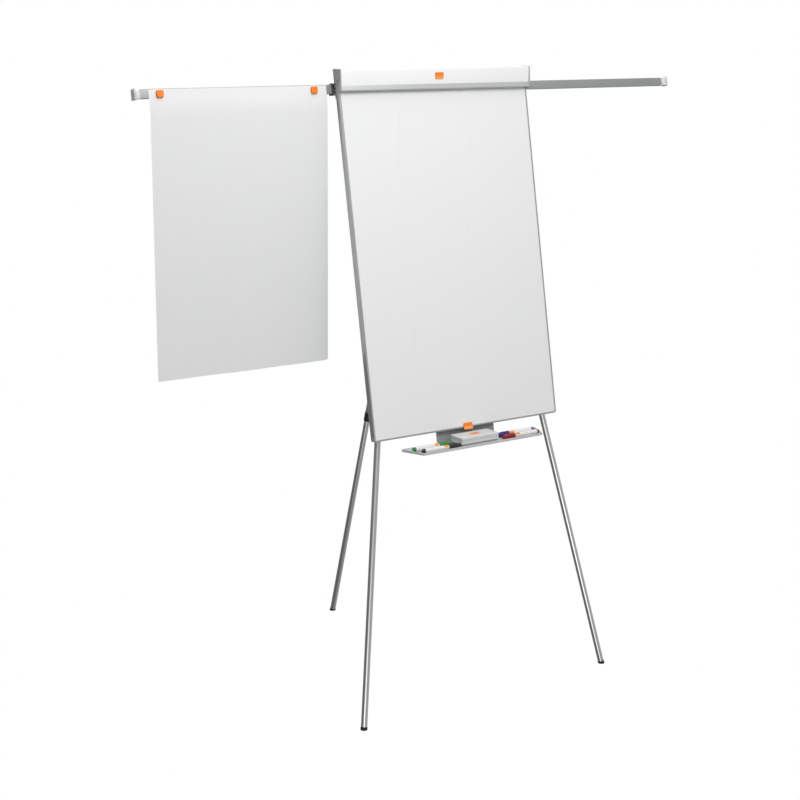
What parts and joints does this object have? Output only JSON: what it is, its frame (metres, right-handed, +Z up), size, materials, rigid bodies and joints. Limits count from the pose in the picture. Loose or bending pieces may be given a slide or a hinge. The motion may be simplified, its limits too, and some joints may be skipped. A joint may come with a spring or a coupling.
{
  "type": "flipchart easel",
  "caption": "Tripod flipchart easel with a reclined magnetic board, sprung clamp bar, sliding side arms, pen tray and telescopic folding legs.",
  "frame": {"origin": "on the floor, at the middle of the footprint of the whole easel", "axes": "+X to the viewer's right along the arms, +Y away from the viewer, +Z up"},
  "size_m": [1.95, 0.9377, 1.9087],
  "materials": {
    "white_enamel": "gloss enamel writing surface",
    "core_board": "honeycomb board",
    "galvanised_steel": "galvanised sheet",
    "frame_aluminium": "satin anodised",
    "arm_aluminium": "satin anodised",
    "grey_plastic": "moulded, fine grain",
    "white_coat": "white powder coat",
    "grip_aluminium": "satin anodised",
    "black_plastic": "moulded black",
    "clear_plastic": "frosted clear",
    "zinc_steel": "zinc plated",
    "grey_steel": "grey powder coat",
    "tray_grey": "light grey powder coat",
    "paper": "uncoated paper",
    "orange_plastic": "moulded orange",
    "eraser_grey": "moulded light grey",
    "felt": "pressed felt",
    "marker_white": "moulded white",
    "marker_green": "moulded green",
    "marker_black": "moulded black",
    "marker_blue": "moulded blue",
    "marker_red": "moulded red",
    "leg_aluminium": "polished tube",
    "foot_rubber": "black rubber"
  },
  "bodies": {
    "board": {"writing_panel": "white_enamel", "board_core": "core_board", "back_sheet": "galvanised_steel", "frame_rail_left": "frame_aluminium", "frame_rail_right": "frame_aluminium", "frame_rail_bottom": "frame_aluminium", "frame_rail_top": "frame_aluminium", "frame_corners": "grey_plastic", "clamp_base": "frame_aluminium", "clamp_cheek_left": "grey_plastic", "clamp_cheek_right": "grey_plastic", "clamp_pins": "zinc_steel", "clamp_springs": "zinc_steel", "arm_channel": "frame_aluminium", "arm_bush_left": "black_plastic", "arm_bush_right": "black_plastic", "head_plate": "grey_steel", "front_leg_studs": "zinc_steel", "rear_leg_fork": "grey_steel", "rear_leg_bolt": "zinc_steel", "tray_bracket": "grey_steel", "pen_tray": "tray_grey", "board_screws": "zinc_steel", "eraser_shell": "eraser_grey", "eraser_felt": "felt", "marker_barrels": "marker_white", "marker_cap_green": "marker_green", "marker_cap_black": "marker_black", "marker_cap_blue": "marker_blue", "marker_cap_red": "marker_red", "board_badge": "orange_plastic"},
    "clamp": {"clamp_bar": "white_coat", "clamp_grip": "grip_aluminium", "clamp_badge": "orange_plastic"},
    "peg_left": {"pad_peg_left": "black_plastic"},
    "peg_right": {"pad_peg_right": "black_plastic"},
    "left_arm": {"left_arm_bar": "arm_aluminium", "left_arm_cap": "clear_plastic", "sheet_magnets": "orange_plastic", "paper_sheet": "paper"},
    "right_arm": {"right_arm_bar": "arm_aluminium", "right_arm_cap": "clear_plastic"},
    "front_left_leg": {"front_left_top_joint": "black_plastic", "front_left_outer_tube": "leg_aluminium"},
    "front_left_lock": {"front_left_collar": "black_plastic"},
    "front_left_inner_leg": {"front_left_inner_tube": "leg_aluminium", "front_left_guide_bush": "black_plastic", "front_left_foot": "foot_rubber"},
    "front_right_leg": {"front_right_top_joint": "black_plastic", "front_right_outer_tube": "leg_aluminium"},
    "front_right_lock": {"front_right_collar": "black_plastic"},
    "front_right_inner_leg": {"front_right_inner_tube": "leg_aluminium", "front_right_guide_bush": "black_plastic", "front_right_foot": "foot_rubber"},
    "rear_leg": {"rear_top_joint": "black_plastic", "rear_outer_tube": "leg_aluminium"},
    "rear_lock": {"rear_collar": "black_plastic"},
    "rear_inner_leg": {"rear_inner_tube": "leg_aluminium", "rear_guide_bush": "black_plastic", "rear_foot": "foot_rubber"}
  },
  "joints": [
    {"name": "left_arm_slide", "type": "slide", "parent": "board", "child": "left_arm", "axis": [1, 0, 0], "range_m": [0, 0.6065], "deforming": ["paper_sheet"]},
    {"name": "right_arm_slide", "type": "slide", "parent": "board", "child": "right_arm", "axis": [-1, 0, 0], "range_m": [0, 0.6065]},
    {"name": "clamp_open", "type": "hinge", "parent": "board", "child": "clamp", "pos_m": [0, -0.16206, 1.87487], "axis": [-1, 0, 0], "range_deg": [0, 25], "stiffness_Nm_per_rad": 2, "springref_deg": -20.05},
    {"name": "pad_peg_left_slide", "type": "slide", "parent": "board", "child": "peg_left", "axis": [1, 0, 0], "range_m": [-0.045, 0.045]},
    {"name": "pad_peg_right_slide", "type": "slide", "parent": "board", "child": "peg_right", "axis": [1, 0, 0], "range_m": [-0.045, 0.045]},
    {"name": "front_left_leg_swing", "type": "hinge", "parent": "board", "child": "front_left_leg", "pos_m": [-0.1414, -0.1391, 1.7732], "axis": [0, -0.9842, 0.1771], "range_deg": [0, 10]},
    {"name": "front_left_leg_slide", "type": "slide", "parent": "front_left_leg", "child": "front_left_inner_leg", "axis": [0.1754, 0.1743, 0.9689], "range_m": [0, 0.817]},
    {"name": "front_left_lock_turn", "type": "hinge", "parent": "front_left_leg", "child": "front_left_lock", "pos_m": [-0.30888, -0.30561, 0.84781], "axis": [0.1754, 0.1743, 0.9689], "range_deg": [0, 90]},
    {"name": "front_right_leg_swing", "type": "hinge", "parent": "board", "child": "front_right_leg", "pos_m": [0.1414, -0.1391, 1.7732], "axis": [0, 0.9842, -0.1771], "range_deg": [0, 10]},
    {"name": "front_right_leg_slide", "type": "slide", "parent": "front_right_leg", "child": "front_right_inner_leg", "axis": [-0.1754, 0.1743, 0.9689], "range_m": [0, 0.817]},
    {"name": "front_right_lock_turn", "type": "hinge", "parent": "front_right_leg", "child": "front_right_lock", "pos_m": [0.30888, -0.30561, 0.84781], "axis": [-0.1754, 0.1743, 0.9689], "range_deg": [0, 90]},
    {"name": "rear_leg_fold", "type": "hinge", "parent": "board", "child": "rear_leg", "pos_m": [0, -0.09147, 1.76463], "axis": [-1, 0, 0], "range_deg": [0, 27]},
    {"name": "rear_leg_slide", "type": "slide", "parent": "rear_leg", "child": "rear_inner_leg", "axis": [0, -0.2974, 0.9548], "range_m": [0, 0.762]},
    {"name": "rear_lock_turn", "type": "hinge", "parent": "rear_leg", "child": "rear_lock", "pos_m": [0, 0.22254, 0.75645], "axis": [0, -0.2974, 0.9548], "range_deg": [0, 90]}
  ]
}
